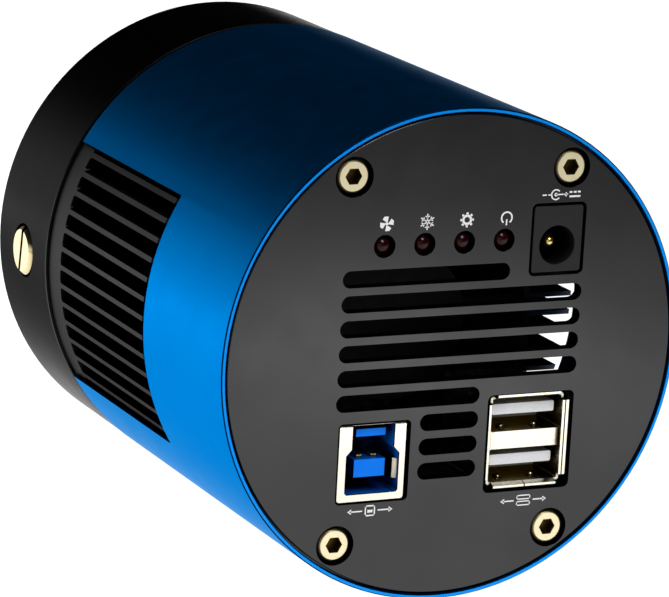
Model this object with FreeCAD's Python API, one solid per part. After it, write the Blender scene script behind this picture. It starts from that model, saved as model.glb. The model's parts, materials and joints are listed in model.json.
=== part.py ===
import FreeCAD, Part
import math
import os

# Cooled astronomy camera: a round body that screws onto a telescope by its front thread.
# Every solid is first modelled with Y as the depth forward of the rear rim, +X to the right and
# +Z up as seen from behind.  save() then moves it so that the origin is the centre of the front face.

V = FreeCAD.Vector
ALONG_Y = V(0, 1, 0)

# ---- driving dimensions, millimetres -------------------------------------------------------------
LENGTH = 99.0
BODY_RADIUS = 40.0
SHELL_WALL = 0.7
SHELL_THICK_RADIUS = 38.5
SHELL_THICK_END = 33.0
SHELL_END = 75.3
CHAMBER_START = 76.3
CHAMBER_RADIUS = 39.9
SINK_RADIUS = 39.25

WINDOW_START = 31.7
WINDOW_HALF_HEIGHT = 20.65
WINDOW_CORNER = 0.5

COVER_FACE = 0.25
COVER_STEP = 1.6
COVER_BACK = 2.5
COVER_RADIUS = 38.95
COVER_STEP_RADIUS = 39.2
COVER_SCREW_START = 0.6
SLOT_WIDTH = 2.75
SLOT_PITCH = 4.0
SLOT_TOP = 13.4
BOSS_RADIUS = 4.2
BOSS_LIMIT = 38.2
PORT_EDGE_GAP = 0.33
SLOT_BLOCKS = [(1, -20.1, 9.1), (4, -20.1, 22.2), (1, -20.1, 5.05), (3, -5.25, 5.05)]

M3_HOLE = 1.5
M3_SHANK = 1.45
M3_CLEAR = 1.75
M3_HEAD = 2.75
M3_HEAD_HEIGHT = 3.0
M3_HEAD_HOLE = 3.25
M3_HEX = 2.5
M2_HOLE = 1.0
M2_SHANK = 0.95
M2_HEAD = 1.9

PILLAR_X = 19.0
PILLAR_Z = 29.7
PILLAR_RADIUS = 2.9
PILLAR_START = 6.0

FIN_PITCH = 3.2
FIN_THICKNESS = 0.8
FIN_SPAN = 6
FIN_START = 34.1
FIN_END = 70.8
FIN_ROOT_ROUND = 0.6
PILLAR_POST = 3.6
FAN_POST = 3.2

BOARD_START = 4.0
BOARD_END = 19.5
BOARD_THICKNESS = 1.6
BOARD_HALF_WIDTH = 26.0
UPPER_BOARD_Z = 23.6
LOWER_BOARD_Z = -22.75

JACK_X = 17.28
JACK_WIDTH = 8.75
JACK_HEIGHT = 10.8
JACK_CUTOUT_WIDTH = 9.75
JACK_CUTOUT_HEIGHT = 11.8
JACK_BORE = 3.15
JACK_AXIS_DROP = 6.4
JACK_PIN = 1.05

LED_X = [-13.2, -6.25, 0.7, 7.7]
LED_Z = 18.45
LED_RADIUS = 1.5
LED_HOLE = 1.85

SQUARE_X = -13.3
SQUARE_WIDTH = 11.6
SQUARE_HEIGHT = 12.7
SQUARE_CUTOUT_X = -13.1
SQUARE_CUTOUT_WIDTH = 12.65
SQUARE_CUTOUT_HEIGHT = 13.2
STACK_X = 14.15
STACK_SHEET = 0.36
STACK_TOP = -7.4
STACK_LOW = -22.0
STACK_MOUTH = 12.4
STACK_MOUTH_HEIGHT = 5.5
STACK_CUTOUT_X = 14.4
STACK_CUTOUT_WIDTH = 15.5
STACK_CUTOUT_HEIGHT = 16.2

FAN_SIZE = 50.0
FAN_START = 22.0
FAN_END = 32.0
FAN_TUNNEL = 24.2
FAN_HOLES = 20.0
FAN_BLADES = 7
HUB_RADIUS = 13.0

CAVITY_RADIUS = 24.0
CAVITY_END = 88.2
THREAD_RADIUS = 20.6
FLANGE_START = 94.5
FLANGE_RADIUS = 31.0
GLASS_RADIUS = 17.0
GLASS_START = 91.1
GLASS_THICKNESS = 2.0

PLUG_DEPTH = 87.0
PLUG_Z = -0.8
PLUG_FACE = -40.3
PLUG_SEAT = -36.6
PLUG_HEAD = 4.25
PLUG_HOLE = 4.7
PLUG_THREAD = 3.5
PLUG_CLEARANCE = 0.05


# ---- building helpers ----------------------------------------------------------------------------
def box(x0, x1, y0, y1, z0, z1):
    """A box between two corners."""
    return Part.makeBox(x1 - x0, y1 - y0, z1 - z0, V(x0, y0, z0))


def centred_box(x, z, width, height, y0, y1):
    """A box along Y, centred on (x, z)."""
    return box(x - width / 2, x + width / 2, y0, y1, z - height / 2, z + height / 2)


def soft_box(x, z, width, height, y0, y1, corner):
    """A box along Y with its four long edges rounded."""
    block = centred_box(x, z, width, height, y0, y1)
    return round_along(block, ALONG_Y, corner)


def round_along(solid, direction, corner):
    """Round the straight edges that run along a direction."""
    edges = [e for e in solid.Edges if abs(abs(e.tangentAt(e.FirstParameter).dot(direction)) - 1) < 1e-6]
    return solid.makeFillet(corner, edges)


def rod(radius, y0, y1, x=0.0, z=0.0):
    """A cylinder along Y."""
    return Part.makeCylinder(radius, y1 - y0, V(x, y0, z), ALONG_Y)


def tube(outer, inner, y0, y1, x=0.0, z=0.0):
    """A hollow cylinder along Y."""
    return rod(outer, y0, y1, x, z).cut(rod(inner, y0, y1, x, z))


def cross_rod(radius, x0, x1, y, z):
    """A cylinder along X."""
    return Part.makeCylinder(radius, x1 - x0, V(x0, y, z), V(1, 0, 0))


def turned(profile):
    """Turn a closed outline of (radius, depth) points about the Y axis."""
    points = [V(radius, depth, 0) for radius, depth in profile]
    face = Part.Face(Part.makePolygon(points + points[:1]))
    return face.revolve(V(0, 0, 0), ALONG_Y, 360)


def prism(outline, y0, y1):
    """Extrude a closed outline of (x, z) points along Y."""
    points = [V(x, y0, z) for x, z in outline]
    face = Part.Face(Part.makePolygon(points + points[:1]))
    return face.extrude(V(0, y1 - y0, 0))


def hexagon(across_flats, y0, y1, x, z):
    """A hexagonal bar along Y."""
    corner = across_flats / math.sqrt(3)
    angles = [math.radians(60 * step) for step in range(6)]
    return prism([(x + corner * math.cos(a), z + corner * math.sin(a)) for a in angles], y0, y1)


def fused(solids):
    """One solid out of several that meet."""
    first, *rest = solids
    return first.fuse(rest).removeSplitter() if rest else first


def spread(solid, places):
    """Copies of a solid at (x, z) places."""
    copies = []
    for x, z in places:
        copy = solid.copy()
        copy.translate(V(x, 0, z))
        copies.append(copy)
    return copies


def four_corners(x, z):
    return [(x, z), (-x, z), (-x, -z), (x, -z)]


def around(radius, angles):
    """Places on a circle about the axis, angles in degrees from +X."""
    return [(radius * math.cos(math.radians(a)), radius * math.sin(math.radians(a))) for a in angles]


def bent_wire(points, bend):
    """A path of straight runs joined by tangent arcs."""
    edges = []
    start = points[0]
    for before, corner, after in zip(points, points[1:], points[2:]):
        into = (corner - before).normalize()
        out = (after - corner).normalize()
        turn = into.getAngle(out)
        reach = bend * math.tan(turn / 2)
        arc_start = corner - into * reach
        arc_end = corner + out * reach
        centre_way = (out - into).normalize()
        centre = corner + centre_way * (bend / math.cos(turn / 2))
        middle = centre - centre_way * bend
        edges.append(Part.LineSegment(start, arc_start).toShape())
        edges.append(Part.Arc(arc_start, middle, arc_end).toShape())
        start = arc_end
    edges.append(Part.LineSegment(start, points[-1]).toShape())
    return Part.Wire(edges)


def lead(points, radius, bend):
    """A round wire that follows bent runs."""
    path = bent_wire(points, bend)
    way = (points[1] - points[0]).normalize()
    section = Part.Wire([Part.makeCircle(radius, points[0], way)])
    return path.makePipeShell([section], True, False)


def save(name, solids):
    """Write one sub-part, moved so that the origin is the centre of the front face."""
    pieces = solids if isinstance(solids, list) else [solids]
    flat = [solid for piece in pieces for solid in piece.Solids]
    shape = flat[0] if len(flat) == 1 else Part.makeCompound(flat)
    shape.translate(V(0, -LENGTH, 0))
    shape.exportStep("parts/" + name + ".step")


# ---- outer shell ---------------------------------------------------------------------------------
def make_shell():
    """Blue tube: chamfered rear rim, a thicker wall behind the cover, and an air window on each side."""
    inner = BODY_RADIUS - SHELL_WALL
    chamfer = 0.22
    profile = [
        (inner + 0.12, 0), (BODY_RADIUS - chamfer, 0), (BODY_RADIUS, chamfer),
        (BODY_RADIUS, SHELL_END - chamfer), (BODY_RADIUS - chamfer, SHELL_END), (inner, SHELL_END),
        (inner, SHELL_THICK_END), (SHELL_THICK_RADIUS, SHELL_THICK_END - 0.5),
        (SHELL_THICK_RADIUS, COVER_BACK), (inner, COVER_BACK),
        (inner, 0.12),
    ]
    window = box(-50, 50, WINDOW_START, SHELL_END + 10, -WINDOW_HALF_HEIGHT, WINDOW_HALF_HEIGHT)
    window = round_along(window, V(1, 0, 0), WINDOW_CORNER)
    save("shell", turned(profile).cut(window))


# ---- rear cover and its fixings ------------------------------------------------------------------
def vent_slots():
    """Round-ended air slots in the rear cover."""
    slots = []
    row = 0
    for count, left, right in SLOT_BLOCKS:
        for _ in range(count):
            z = SLOT_TOP - SLOT_PITCH * row
            end = SLOT_WIDTH / 2
            middle = box(left + end, right - end, 0, COVER_BACK, z - end, z + end)
            slots.append(fused([middle, rod(end, 0, COVER_BACK, left + end, z),
                                rod(end, 0, COVER_BACK, right - end, z)]))
            row += 1
    return slots


def make_rear_cover():
    """Round black plate with vents, connector cut-outs, lamp holes and four screw bosses."""
    plate = turned([
        (0, COVER_FACE), (COVER_RADIUS - 0.15, COVER_FACE), (COVER_RADIUS, COVER_FACE + 0.15),
        (COVER_RADIUS, COVER_STEP), (COVER_STEP_RADIUS, COVER_STEP),
        (COVER_STEP_RADIUS, COVER_BACK), (0, COVER_BACK),
    ])
    corners = four_corners(PILLAR_X, PILLAR_Z)
    boss = rod(BOSS_RADIUS, COVER_BACK, PILLAR_START)
    bosses = [b.common(rod(BOSS_LIMIT, COVER_BACK, PILLAR_START)) for b in spread(boss, corners)]
    jack_z = UPPER_BOARD_Z - JACK_HEIGHT / 2
    square_z = LOWER_BOARD_Z + SQUARE_CUTOUT_HEIGHT / 2 - PORT_EDGE_GAP
    stack_z = LOWER_BOARD_Z + STACK_CUTOUT_HEIGHT / 2 - PORT_EDGE_GAP
    deep = PILLAR_START + 1
    holes = vent_slots()
    holes += [rod(LED_HOLE, 0, deep, x, LED_Z) for x in LED_X]
    holes.append(soft_box(JACK_X, jack_z, JACK_CUTOUT_WIDTH, JACK_CUTOUT_HEIGHT, 0, deep, 1.0))
    holes.append(soft_box(SQUARE_CUTOUT_X, square_z, SQUARE_CUTOUT_WIDTH, SQUARE_CUTOUT_HEIGHT, 0, deep, 0.8))
    holes.append(soft_box(STACK_CUTOUT_X, stack_z, STACK_CUTOUT_WIDTH, STACK_CUTOUT_HEIGHT, 0, deep, 1.0))
    holes += spread(rod(M3_HEAD_HOLE, 0, COVER_SCREW_START + M3_HEAD_HEIGHT), corners)
    holes += spread(rod(M3_CLEAR, 0, deep), corners)
    holes += [rod(M2_HOLE, COVER_BACK - COVER_THREAD, COVER_BACK, x, z) for x, z in bracket_screws_on_cover()]
    save("rear_cover", fused([plate] + bosses).cut(holes))


def cap_screw(length, head, height, shank, socket, edge):
    """Socket-head cap screw: its head starts at depth 0 and its shank points forward."""
    body = turned([(0, 0), (head - edge, 0), (head, edge), (head, height), (shank, height),
                   (shank, height + length), (0, height + length)])
    return body.cut(hexagon(socket, 0, height * 0.55, 0, 0))


def make_rear_screws_and_pillars():
    corners = four_corners(PILLAR_X, PILLAR_Z)
    screw = cap_screw(8.0, M3_HEAD, M3_HEAD_HEIGHT, M3_SHANK, M3_HEX, 0.4)
    screw.translate(V(0, COVER_SCREW_START, 0))
    save("rear_cover_screws", spread(screw, corners))
    pillar = fused([rod(PILLAR_RADIUS, PILLAR_START, FIN_START), rod(M3_SHANK, FIN_START, FIN_START + 5.5)])
    pillar = pillar.cut(rod(M3_HOLE, PILLAR_START, PILLAR_START + 8.0))
    save("pillars", spread(pillar, corners))


# ---- circuit boards behind the cover -------------------------------------------------------------
BRACKET_X = 11.0
BRACKET_LEG = 6.0
BRACKET_SHEET = 1.2
BRACKET_HALF = 3.0
BRACKET_HOLE = 3.6
BRACKET_HOLE_DEPTH = 4.4
BRACKET_SCREW_HEAD = 1.8
BRACKET_SCREW_HEIGHT = 1.1
COVER_THREAD = 1.4
COVER_GRIP = 1.2


def bracket_screws_on_cover():
    """Where the brackets screw to the back of the cover."""
    up = UPPER_BOARD_Z + BOARD_THICKNESS + BRACKET_HOLE
    down = LOWER_BOARD_Z - BOARD_THICKNESS - BRACKET_HOLE
    return [(BRACKET_X, up), (-BRACKET_X, up), (BRACKET_X, down), (-BRACKET_X, down)]


def make_brackets():
    """Four small angle brackets that hold the two boards square to the cover, and their screws."""
    brackets = []
    screws = []
    board_y = COVER_BACK + BRACKET_HOLE_DEPTH
    upright = V(0, 0, 1)
    for x, z in bracket_screws_on_cover():
        side = 1 if z > 0 else -1
        face = UPPER_BOARD_Z + BOARD_THICKNESS if side > 0 else LOWER_BOARD_Z - BOARD_THICKNESS
        low, high = sorted([face, face + side * BRACKET_SHEET])
        foot = box(x - BRACKET_HALF, x + BRACKET_HALF, COVER_BACK, COVER_BACK + BRACKET_LEG, low, high)
        low, high = sorted([face, face + side * BRACKET_LEG])
        leg = box(x - BRACKET_HALF, x + BRACKET_HALF, COVER_BACK, COVER_BACK + BRACKET_SHEET, low, high)
        through = Part.makeCylinder(M2_HOLE, 2 * BRACKET_LEG, V(x, board_y, face - BRACKET_LEG), upright)
        bracket = fused([foot, leg]).cut([through, rod(M2_HOLE, COVER_BACK, COVER_BACK + 2, x, z)])
        brackets.append(bracket)
        head_y = COVER_BACK + BRACKET_SHEET
        screws.append(fused([rod(M2_SHANK, COVER_BACK - COVER_GRIP, head_y, x, z),
                             rod(BRACKET_SCREW_HEAD, head_y, head_y + BRACKET_SCREW_HEIGHT, x, z)]))
        seat = V(x, board_y, face + side * BRACKET_SHEET)
        head = Part.makeCylinder(BRACKET_SCREW_HEAD, BRACKET_SCREW_HEIGHT, seat, upright * side)
        reach = BRACKET_SHEET + BOARD_THICKNESS
        shank = Part.makeCylinder(M2_SHANK, reach, seat, upright * -side)
        screws.append(fused([head, shank]))
    save("board_brackets", brackets)
    save("bracket_screws", screws)


def board_sheet(z):
    """One board, square to the rear cover, with the bracket screw holes."""
    side = 1 if z > 0 else -1
    low, high = sorted([z, z + side * BOARD_THICKNESS])
    sheet = box(-BOARD_HALF_WIDTH, BOARD_HALF_WIDTH, BOARD_START, BOARD_END, low, high)
    sheet = round_along(sheet, V(0, 0, 1), 1.5)
    hole_y = COVER_BACK + BRACKET_HOLE_DEPTH
    holes = [Part.makeCylinder(M2_HOLE, 10, V(x, hole_y, z - 5)) for x in (-BRACKET_X, BRACKET_X)]
    return sheet.cut(holes)


SOCKET_HEIGHT = 3.4
CHIP_HEIGHT = 1.2
RIBBON_SOCKET_HEIGHT = 2.4
SOCKET_START = 14.5


def on_board(x, y, width, length, face, height):
    """A component on a board: centred on (x, y), standing on a face, height positive upward."""
    low, high = sorted([face, face + height])
    return box(x - width / 2, x + width / 2, y - length / 2, y + length / 2, low, high)


def make_upper_components():
    """The cooler's socket on top; a coil, two chips and a capacitor hang below."""
    top = UPPER_BOARD_Z + BOARD_THICKNESS
    cooler_socket = box(-8, 8, SOCKET_START, 19.0, top, top + SOCKET_HEIGHT)
    cooler_socket = cooler_socket.cut([rod(COOLER_LEAD, 14, 20, x, COOLER_LEAD_TOP) for x in COOLER_LEAD_X])
    coil = on_board(-20.75, 11.75, 6.5, 6.5, UPPER_BOARD_Z, -3.2)
    power_chip = on_board(-13.25, 15.75, 4.5, 4.5, UPPER_BOARD_Z, -CHIP_HEIGHT)
    fan_chip = on_board(-5.0, 16.0, 5.0, 5.0, UPPER_BOARD_Z, -CHIP_HEIGHT)
    capacitor = on_board(4.0, 15.5, 4.0, 4.0, UPPER_BOARD_Z, -2.2)
    save("upper_board_components", [cooler_socket, coil, power_chip, fan_chip, capacitor])


def make_lower_components():
    """The ribbon and fan sockets and a memory chip below; the data chip and a small chip on top."""
    bottom = LOWER_BOARD_Z - BOARD_THICKNESS
    slit = RIBBON_THICKNESS / 2
    ribbon_socket = box(-7, 7, 15.5, BOARD_END, bottom - RIBBON_SOCKET_HEIGHT, bottom)
    ribbon_socket = ribbon_socket.cut(box(-5, 5, 15.5, BOARD_END, RIBBON_LOW - slit, RIBBON_LOW + slit))
    fan_socket = box(9, 15.4, SOCKET_START, BOARD_END, bottom - SOCKET_HEIGHT, bottom)
    fan_socket = fan_socket.cut([rod(FAN_LEAD, 14, 20, x, FAN_LEAD_LOW) for x in FAN_LEAD_X])
    memory = on_board(-16.0, 14.2, 10.0, 8.0, bottom, -1.4)
    data_chip = on_board(0.0, 9.5, 9.0, 7.0, LOWER_BOARD_Z, CHIP_HEIGHT)
    small_chip = on_board(-0.25, 16.25, 5.5, 3.5, LOWER_BOARD_Z, CHIP_HEIGHT)
    save("lower_board_components", [ribbon_socket, fan_socket, memory, data_chip, small_chip])


def make_boards():
    upper = board_sheet(UPPER_BOARD_Z)
    for x in LED_X:
        for side in (-1, 1):
            upper = upper.cut(leg_slot(x + side * LEG_OFFSET))
    save("upper_board", upper)
    save("lower_board", board_sheet(LOWER_BOARD_Z))
    make_upper_components()
    make_lower_components()


# ---- power jack and indicator lamps --------------------------------------------------------------
def make_power_jack():
    """Barrel power jack hanging under the upper board: housing, centre pin and side spring."""
    axis = UPPER_BOARD_Z - JACK_AXIS_DROP
    middle = UPPER_BOARD_Z - JACK_HEIGHT / 2
    front = 0.35
    floor = 12.3
    back = 14.3
    pin_centre = 2.4 + JACK_PIN
    pocket_half = 1.2
    housing = soft_box(JACK_X, middle, JACK_WIDTH, JACK_HEIGHT, front, back, 0.5)
    bore = rod(JACK_BORE, front, floor, JACK_X, axis)
    pocket = box(JACK_X - pocket_half, JACK_X + pocket_half, 4.0, floor, axis - 4.0, axis)
    housing = housing.cut([bore, pocket, rod(JACK_PIN, floor, back, JACK_X, axis)])
    save("power_jack_housing", housing)
    tip = Part.makeSphere(JACK_PIN, V(JACK_X, pin_centre, axis))
    pin = fused([tip, rod(JACK_PIN, pin_centre, back + 1.0, JACK_X, axis)])
    save("power_jack_pin", pin)
    spring = box(JACK_X - 1.0, JACK_X + 1.0, 4.5, floor, axis - 3.9, axis - 3.55)
    save("power_jack_spring", spring)


LEG_OFFSET = 1.27
LEG_HALF = 0.25
LEG_DEPTH = 10.6
LED_FLANGE = 1.85
BLOCK_HALF = 2.3
SPACER_START = 6.6


def leg_slot(x):
    """The hole in the upper board for one lamp leg."""
    return box(x - LEG_HALF, x + LEG_HALF, LEG_DEPTH - LEG_HALF, LEG_DEPTH + LEG_HALF,
               UPPER_BOARD_Z, UPPER_BOARD_Z + BOARD_THICKNESS)


def make_indicator_lamps():
    """Four domed lamps on bent legs, each in a black block under the upper board."""
    tip = 0.35
    lamps = []
    legs = []
    blocks = []
    for x in LED_X:
        dome = Part.makeSphere(LED_RADIUS, V(x, tip + LED_RADIUS, LED_Z))
        dome = dome.common(centred_box(x, LED_Z, 4, 4, tip, tip + LED_RADIUS))
        body = rod(LED_RADIUS, tip + LED_RADIUS, SPACER_START, x, LED_Z)
        rim = rod(LED_FLANGE, SPACER_START - 1.0, SPACER_START, x, LED_Z)
        lamps.append(fused([dome, body, rim]))
        block = box(x - BLOCK_HALF, x + BLOCK_HALF, SPACER_START, LEG_DEPTH + 1.2, LED_Z - 2.0, UPPER_BOARD_Z)
        for side in (-1, 1):
            leg_x = x + side * LEG_OFFSET
            run = centred_box(leg_x, LED_Z, 2 * LEG_HALF, 2 * LEG_HALF, SPACER_START, LEG_DEPTH + LEG_HALF)
            rise = box(leg_x - LEG_HALF, leg_x + LEG_HALF, LEG_DEPTH - LEG_HALF, LEG_DEPTH + LEG_HALF,
                       LED_Z - LEG_HALF, UPPER_BOARD_Z + BOARD_THICKNESS + 0.6)
            leg = fused([run, rise])
            legs.append(leg)
            block = block.cut(leg)
        blocks.append(block)
    save("indicator_lamps", lamps)
    save("indicator_lamp_legs", legs)
    save("indicator_lamp_blocks", blocks)


# ---- data ports ----------------------------------------------------------------------------------
def key_outline(grow):
    """Outline of the square port's mouth: narrow upper part, wide lower part."""
    middle = SQUARE_X + 0.15
    narrow = 3.7 + grow
    wide = 4.65 + grow
    top = -10.3 + grow
    shoulder = -14.2 + grow
    low = -21.6 - grow
    corner = 0.35
    return [(middle - wide + corner, low), (middle + wide - corner, low), (middle + wide, low + corner),
            (middle + wide, shoulder - 1.0), (middle + narrow, shoulder), (middle + narrow, top),
            (middle - narrow, top), (middle - narrow, shoulder), (middle - wide, shoulder - 1.0),
            (middle - wide, low + corner)]


def make_square_port():
    """Square data port: metal shell, insulator with two tongues, and contacts."""
    middle = LOWER_BOARD_Z + SQUARE_HEIGHT / 2
    front = 0.4
    back = 17.4
    wall = 0.4
    rim = 0.5
    fold = 0.4
    floor_depth = 9.9
    outer = soft_box(SQUARE_X, middle, SQUARE_WIDTH, SQUARE_HEIGHT, front, back, 0.5)
    top = middle + SQUARE_HEIGHT / 2
    fold_edge = [V(-50, front, top - fold), V(-50, front, top), V(-50, front + fold, top)]
    outer = outer.cut(Part.Face(Part.makePolygon(fold_edge + fold_edge[:1])).extrude(V(100, 0, 0)))
    hollow = centred_box(SQUARE_X, middle, SQUARE_WIDTH - 2 * wall, SQUARE_HEIGHT - 2 * wall,
                         front + rim, back)
    inner_side = SQUARE_X + SQUARE_WIDTH / 2 - wall
    spring_ridge = inner_side - 0.95
    spring_low = -19.8
    spring_high = -16.5
    spring_line = [V(inner_side + 0.1, 1.2, spring_low), V(spring_ridge, 2.2, spring_low),
                   V(spring_ridge, 4.4, spring_low), V(inner_side + 0.1, 7.6, spring_low)]
    spring = Part.Face(Part.makePolygon(spring_line + spring_line[:1]))
    spring = spring.extrude(V(0, 0, spring_high - spring_low))
    shell = fused([outer.cut([hollow, prism(key_outline(0), front, front + rim)]), spring])
    save("square_port_shell", shell)
    spring_window = box(spring_ridge - 1.0, inner_side + 0.1, 1.2, 7.6, spring_low, spring_high)
    insulator = hollow.cut([prism(key_outline(0.05), front + rim, floor_depth), spring_window])
    tongue_x = SQUARE_X + 0.2
    tongue_start = 1.6
    lower_z, lower_height = -17.7, 2.9
    upper_z, upper_height = -11.85, 1.25
    lower_tongue = centred_box(tongue_x, lower_z, 5.4, lower_height, tongue_start, floor_depth)
    upper_tongue = centred_box(tongue_x, upper_z, 5.2, upper_height, tongue_start, floor_depth)
    insulator = fused([insulator, lower_tongue, upper_tongue])
    contacts = []
    for offset_x in (-1.25, 1.25):
        for rise in (-1, 1):
            z = lower_z + rise * (lower_height / 2 + 0.2)
            contacts.append(centred_box(tongue_x + offset_x, z, 0.9, 0.4, 2.9, floor_depth))
    small_z = upper_z - upper_height / 2 - 0.075
    for step in range(-2, 3):
        contacts.append(centred_box(tongue_x + step, small_z, 0.5, 0.15, 2.2, floor_depth))
    save("square_port_insulator", insulator)
    save("square_port_contacts", contacts)


def flared_lip(length, spread_out):
    """A strip of the mouth's edge, bent outward: its inner edge lies on the Y axis, it runs along Z."""
    front = 0.2
    bend = 1.1
    root = 1.6
    outline = [V(0, root, 0), V(0, bend, 0), V(spread_out, front, 0), V(spread_out + STACK_SHEET, front, 0),
               V(STACK_SHEET, bend + 0.1, 0), V(STACK_SHEET, root, 0)]
    strip = Part.Face(Part.makePolygon(outline + outline[:1])).extrude(V(0, 0, length))
    strip.translate(V(0, 0, -length / 2))
    return strip


def double_lip(length):
    """The mouth's right edge: two narrow lips, one behind the other, that part toward the front."""
    front = 0.2
    valley = 1.4
    root = 1.9
    outline = [V(0, root, 0), V(0, valley, 0), V(-0.15, front, 0), V(0.27, front, 0), V(0.32, valley, 0),
               V(0.49, front, 0), V(0.97, front, 0), V(STACK_SHEET + 0.3, root - 0.2, 0),
               V(STACK_SHEET, root, 0)]
    strip = Part.Face(Part.makePolygon(outline + outline[:1])).extrude(V(0, 0, length))
    strip.translate(V(0, 0, -length / 2))
    return strip


def stacked_port_lips(middle):
    """A double lip on the right; single lips on the left, along the top and, split, below."""
    half = STACK_MOUTH / 2
    side_length, side_spread = 12.4, 0.55
    top_length, low_length, end_spread = 11.3, 5.55, 0.4
    low_offset = 2.88
    right = double_lip(side_length)
    right.translate(V(STACK_X + half, 0, middle))
    left = flared_lip(side_length, side_spread)
    left.rotate(V(0, 0, 0), ALONG_Y, 180)
    left.translate(V(STACK_X - half, 0, middle))
    top = flared_lip(top_length, end_spread)
    top.rotate(V(0, 0, 0), ALONG_Y, -90)
    top.translate(V(STACK_X, 0, STACK_TOP - STACK_SHEET))
    lips = [right, left, top]
    for side in (-1, 1):
        low = flared_lip(low_length, end_spread)
        low.rotate(V(0, 0, 0), ALONG_Y, 90)
        low.translate(V(STACK_X + side * low_offset, 0, STACK_LOW + STACK_SHEET))
        lips.append(low)
    return lips


def make_stacked_port():
    """Two flat data ports, one above the other, in one folded metal shell on a plastic base."""
    middle = (STACK_TOP + STACK_LOW) / 2
    height = STACK_TOP - STACK_LOW
    width = STACK_MOUTH + 2 * STACK_SHEET
    front = 1.1
    back = 17.6
    tongue_front = 2.3
    tongue_height = 1.72
    tongue_rise = 0.63
    floor_depth = 9.0
    bump_x = 3.0
    bump_depth = 4.2
    bump_radius = 0.8
    inset = STACK_SHEET + STACK_MOUTH_HEIGHT / 2
    mouth_centres = [STACK_TOP - inset, STACK_LOW + inset]
    outer = soft_box(STACK_X, middle, width, height, front, back, 0.4)
    hollow = centred_box(STACK_X, middle, STACK_MOUTH, height - 2 * STACK_SHEET, floor_depth, back)
    mouths = [soft_box(STACK_X, z, STACK_MOUTH, STACK_MOUTH_HEIGHT, front, floor_depth, 0.3)
              for z in mouth_centres]
    bumps = []
    for z in mouth_centres:
        floor = z - STACK_MOUTH_HEIGHT / 2
        for side in (-1, 1):
            ball = Part.makeSphere(bump_radius, V(STACK_X + side * bump_x, bump_depth, floor - 0.2))
            cap = box(STACK_X - 6, STACK_X + 6, bump_depth - 2, bump_depth + 2, floor - 0.1, floor + 2)
            bumps.append(ball.common(cap))
    save("stacked_port_shell", fused([outer.cut([hollow] + mouths)] + stacked_port_lips(middle) + bumps))
    tongues = [soft_box(STACK_X, z + tongue_rise, 11.1, tongue_height, tongue_front, floor_depth, 0.25)
               for z in mouth_centres]
    base = box(STACK_X - 5.5, STACK_X + 5.5, 6.0, back, LOWER_BOARD_Z, STACK_LOW)
    save("stacked_port_insulator", [fused([hollow] + tongues), base])
    contacts = []
    for z in mouth_centres:
        face = z + tongue_rise - tongue_height / 2
        for offset in (-3.5, -1.0, 1.0, 3.5):
            x = STACK_X + offset
            contacts.append(box(x - 0.5, x + 0.5, tongue_front + 0.6, floor_depth, face - 0.15, face))
    save("stacked_port_contacts", contacts)


# ---- fan -----------------------------------------------------------------------------------------
STRUT_START = 30.3
STRUT_HALF = 1.3
HUB_PLATE_START = 30.6
CUP_START = 22.6
CUP_END = 29.8
CUP_WALL = 0.8
BLADE_TIP = 23.4
BLADE_MIDDLE = 26.4
CORE_START = 26.0
CORE_END = 28.8
CORE_HALF = 1.3
TUBE_START = 24.3
TUBE_RADIUS = 3.2
SHAFT_START = 23.2
BEARING_RADIUS = 2.5
SHAFT_RADIUS = 1.0
SHAFT_CLEARANCE = 0.05
LEAD_END = 15.0
FAN_LEAD = 0.55
FAN_LEAD_X = [10.6, 12.2, 13.8]
FAN_LEAD_LOW = -26.6


def make_fan_frame():
    """Square housing with a round tunnel; four struts carry the motor plate and bearing tube."""
    half = FAN_SIZE / 2
    frame = soft_box(0, 0, FAN_SIZE, FAN_SIZE, FAN_START, FAN_END, 3.0)
    frame = frame.cut(rod(FAN_TUNNEL, FAN_START, FAN_END))
    plate = rod(HUB_RADIUS, HUB_PLATE_START, FAN_END)
    bearing_tube = rod(TUBE_RADIUS, TUBE_START, HUB_PLATE_START)
    struts = []
    for angle in (45, 135, 225, 315):
        strut = box(HUB_RADIUS - 1, FAN_TUNNEL + 0.8, STRUT_START, FAN_END, -STRUT_HALF, STRUT_HALF)
        strut.rotate(V(0, 0, 0), ALONG_Y, angle)
        struts.append(strut)
    frame = fused([frame, plate, bearing_tube] + struts)
    holes = [rod(BEARING_RADIUS, TUBE_START, HUB_PLATE_START + 0.3)]
    holes += spread(rod(M3_CLEAR, FAN_START, FAN_END), four_corners(FAN_HOLES, FAN_HOLES))
    holes.append(box(9.6, 14.8, 26.6, 29.2, -half, -half + 0.6))
    save("fan_frame", frame.cut(holes))


def fan_blade():
    """One cambered blade, extruded outward from the hub and trimmed to the tip circle."""
    radius = 12.0
    thickness = 0.9
    chord = math.radians(46)
    lean = math.radians(52)
    start = lean - chord / 2
    end = lean + chord / 2

    def on_arc(r, a):
        return V(0, r * math.sin(a), r * math.cos(a))

    inner, outer = radius - thickness / 2, radius + thickness / 2
    middle = (start + end) / 2
    edges = [
        Part.Arc(on_arc(outer, start), on_arc(outer, middle), on_arc(outer, end)).toShape(),
        Part.LineSegment(on_arc(outer, end), on_arc(inner, end)).toShape(),
        Part.Arc(on_arc(inner, end), on_arc(inner, middle), on_arc(inner, start)).toShape(),
        Part.LineSegment(on_arc(inner, start), on_arc(outer, start)).toShape(),
    ]
    face = Part.Face(Part.Wire(edges))
    centre = on_arc(radius, middle)
    root = HUB_RADIUS - 0.6
    face.translate(V(root, BLADE_MIDDLE - centre.y, -centre.z))
    blade = face.extrude(V(BLADE_TIP, 0, 0))
    return blade.common(tube(BLADE_TIP, root, CUP_START + 0.2, CUP_END - 0.2))


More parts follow.
